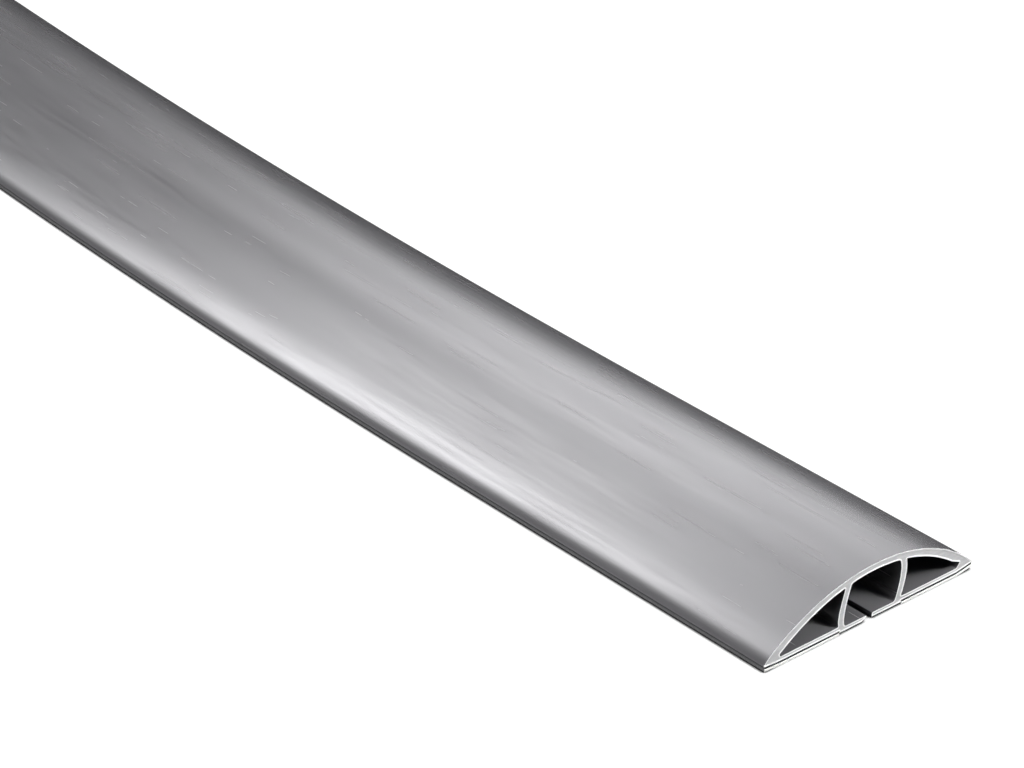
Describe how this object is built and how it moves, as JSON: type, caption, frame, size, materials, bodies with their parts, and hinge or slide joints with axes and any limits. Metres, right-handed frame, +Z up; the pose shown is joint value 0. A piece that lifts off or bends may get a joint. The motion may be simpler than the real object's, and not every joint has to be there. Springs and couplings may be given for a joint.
{
  "type": "flexible cable channel",
  "caption": "Soft plastic floor channel for cables, with a low domed top, a flat base slit along its middle, inner webs between its chambers, and adhesive strips underneath.",
  "frame": {"origin": "on the floor, under the middle of the channel's bounding box", "axes": "+Z up from the floor, +Y along the straight tail of the channel, away from the end that bends, +X across it"},
  "size_m": [0.093, 1.8024, 0.015],
  "materials": {
    "soft_pvc": "satin grey soft PVC, as extruded",
    "tape_liner": "white liner on foam tape"
  },
  "bodies": {
    "root": {"channel_body": "soft_pvc", "adhesive_strip_left": "tape_liner", "adhesive_strip_right": "tape_liner"}
  },
  "joints": []
}
